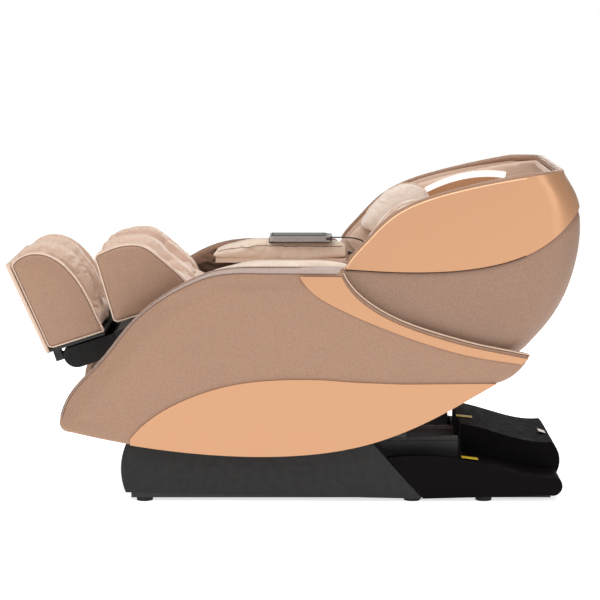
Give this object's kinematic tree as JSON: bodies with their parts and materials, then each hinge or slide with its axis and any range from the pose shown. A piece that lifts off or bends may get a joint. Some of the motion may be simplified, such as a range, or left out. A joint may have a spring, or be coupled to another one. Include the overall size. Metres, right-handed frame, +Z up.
{
  "type": "massage chair",
  "caption": "Reclining massage chair with side shells, a cocoon back, a raised leg rest with foot boots, and a low base the seat slides on.",
  "frame": {"origin": "on the floor, at the centre of the base's footprint", "axes": "+Z up; the chair faces -Y; +X is the sitter's left"},
  "size_m": [0.8, 1.7409, 1.008],
  "materials": {
    "steel_black": "black painted steel",
    "steel_bright": "bright steel",
    "steel_grey": "grey painted steel",
    "plastic_black": "matt black ABS",
    "plastic_black_gloss": "black nylon",
    "plastic_dark_grey": "dark grey nylon",
    "plastic_white": "white ABS",
    "plastic_grey_keys": "grey silicone-coated ABS",
    "rubber_black": "black rubber",
    "rubber_cord": "black cable jacket",
    "plywood": "birch plywood",
    "leather_cream": "cream synthetic leather",
    "leather_brown": "metallic taupe synthetic leather",
    "leather_brown_rear": "dark woven synthetic leather",
    "mesh_cream": "cream spacer mesh",
    "paint_gold": "satin gold paint on ABS",
    "diffuser_white": "white light diffuser",
    "glass_dark": "dark cover glass"
  },
  "bodies": {
    "base": {"base_frame": "steel_black", "slide_rails": "steel_bright", "skid_covers": "plastic_black", "tail_cover": "plastic_black", "rubber_feet": "rubber_black", "power_box": "steel_grey", "mains_inlet": "plastic_black_gloss", "slide_actuator": "plastic_dark_grey"},
    "wheels": {"transport_wheels": "rubber_black", "wheel_axle": "steel_bright"},
    "switch": {"power_switch": "plastic_black_gloss"},
    "carriage": {"carriage_frame": "steel_black", "glide_shoes": "plastic_white", "slide_rod": "steel_bright"},
    "seat_body": {"seat_frame": "steel_black", "seat_pan": "plywood", "seat_cushion": "leather_cream", "arm_shell_left": "leather_brown", "arm_shell_right": "leather_brown", "arm_liners": "leather_brown", "arm_belly_panels": "paint_gold", "arm_sashes": "paint_gold", "arm_pad_left": "leather_cream", "arm_pad_right": "leather_cream", "seat_bolsters": "leather_cream", "push_actuators": "plastic_dark_grey", "air_pump": "plastic_dark_grey", "leg_gearmotor": "plastic_dark_grey", "remote_cradle": "plastic_white", "cord_gland": "rubber_cord", "remote_cord": "rubber_cord"},
    "recline_rod_body": {"recline_rod": "steel_bright"},
    "tilt_rod_body": {"tilt_rod": "steel_bright"},
    "backrest": {"back_frame": "steel_black", "track_rails": "steel_bright", "back_cushion": "leather_cream", "back_sides": "leather_brown", "back_panels": "paint_gold", "rear_shell": "leather_brown_rear", "hood_liner": "leather_cream", "shoulder_pads": "leather_cream", "light_arcs": "diffuser_white", "speakers": "paint_gold"},
    "pillow": {"head_pillow": "mesh_cream"},
    "massage_head": {"massage_carriage": "steel_grey"},
    "kneading_arms": {"massage_rollers": "plastic_dark_grey"},
    "legrest": {"leg_frame": "steel_black", "leg_rail_cover": "plastic_black", "calf_panels": "leather_brown", "calf_cushion": "leather_cream"},
    "foot_unit": {"foot_frame": "steel_black", "foot_panels": "leather_brown", "foot_cushion": "leather_cream"},
    "foot_roller_shaft": {"foot_rollers": "rubber_black"},
    "remote": {"remote_body": "plastic_white", "remote_screen": "glass_dark"},
    "key_power": {"power_key": "plastic_grey_keys"},
    "key_pause": {"pause_key": "plastic_grey_keys"},
    "key_recline": {"recline_key": "plastic_grey_keys"}
  },
  "joints": [
    {"name": "carriage_slide", "type": "slide", "parent": "base", "child": "carriage", "axis": [0, -1, 0], "range_m": [-0.078, 0.071]},
    {"name": "body_tilt", "type": "hinge", "parent": "carriage", "child": "seat_body", "pos_m": [0, -0.04, 0.3], "axis": [-1, 0, 0], "range_deg": [0, 7]},
    {"name": "back_recline", "type": "hinge", "parent": "seat_body", "child": "backrest", "pos_m": [0, 0.05, 0.505], "axis": [-1, 0, 0], "range_deg": [-22, 20]},
    {"name": "leg_lift", "type": "hinge", "parent": "seat_body", "child": "legrest", "pos_m": [0, -0.4, 0.56], "axis": [-1, 0, 0], "range_deg": [-70, 15]},
    {"name": "foot_extend", "type": "slide", "parent": "legrest", "child": "foot_unit", "axis": [0, -0.9511, -0.309], "range_m": [0, 0.15]},
    {"name": "recline_rod_slide", "type": "slide", "parent": "seat_body", "child": "recline_rod_body", "axis": [0, -1, 0], "range_m": [-0.043, 0.039]},
    {"name": "tilt_rod_slide", "type": "slide", "parent": "seat_body", "child": "tilt_rod_body", "axis": [0, -1, 0], "range_m": [-0.001, 0.01]},
    {"name": "massage_travel", "type": "slide", "parent": "backrest", "child": "massage_head", "axis": [0, 0.8829, 0.4695], "range_m": [-0.2, 0.2]},
    {"name": "knead_swing", "type": "hinge", "parent": "massage_head", "child": "kneading_arms", "pos_m": [0, 0.34896, 0.60783], "axis": [-1, 0, 0], "range_deg": [-8, 8]},
    {"name": "pillow_flip", "type": "hinge", "parent": "backrest", "child": "pillow", "pos_m": [0, 0.60286, 0.90139], "axis": [-1, 0, 0], "range_deg": [0, 70]},
    {"name": "foot_roller_spin", "type": "hinge", "parent": "foot_unit", "child": "foot_roller_shaft", "pos_m": [0, -0.82231, 0.50059], "axis": [1, 0, 0], "continuous": true},
    {"name": "wheel_spin", "type": "hinge", "parent": "base", "child": "wheels", "pos_m": [0, 0.52, 0.024], "axis": [1, 0, 0], "continuous": true},
    {"name": "power_rocker", "type": "hinge", "parent": "base", "child": "switch", "pos_m": [0, 0.654, 0.05], "axis": [1, 0, 0], "range_deg": [0, 14]},
    {"name": "remote_lift", "type": "slide", "parent": "seat_body", "child": "remote", "axis": [0, 0, 1], "range_m": [0, 0.08]},
    {"name": "power_key_press", "type": "slide", "parent": "remote", "child": "key_power", "axis": [0, 0, -1], "range_m": [0, 0.0012], "stiffness_N_per_m": 600, "springref_m": -0.0004},
    {"name": "pause_key_press", "type": "slide", "parent": "remote", "child": "key_pause", "axis": [0, 0, -1], "range_m": [0, 0.0012], "stiffness_N_per_m": 600, "springref_m": -0.0004},
    {"name": "recline_key_press", "type": "slide", "parent": "remote", "child": "key_recline", "axis": [0, 0, -1], "range_m": [0, 0.0012], "stiffness_N_per_m": 600, "springref_m": -0.0004}
  ],
  "couplings": [
    {"joint": "carriage_slide", "follows": "back_recline", "m_per_rad": 0.2},
    {"joint": "recline_rod_slide", "follows": "back_recline", "m_per_rad": 0.1067},
    {"joint": "tilt_rod_slide", "follows": "body_tilt", "m_per_rad": 0.07}
  ]
}
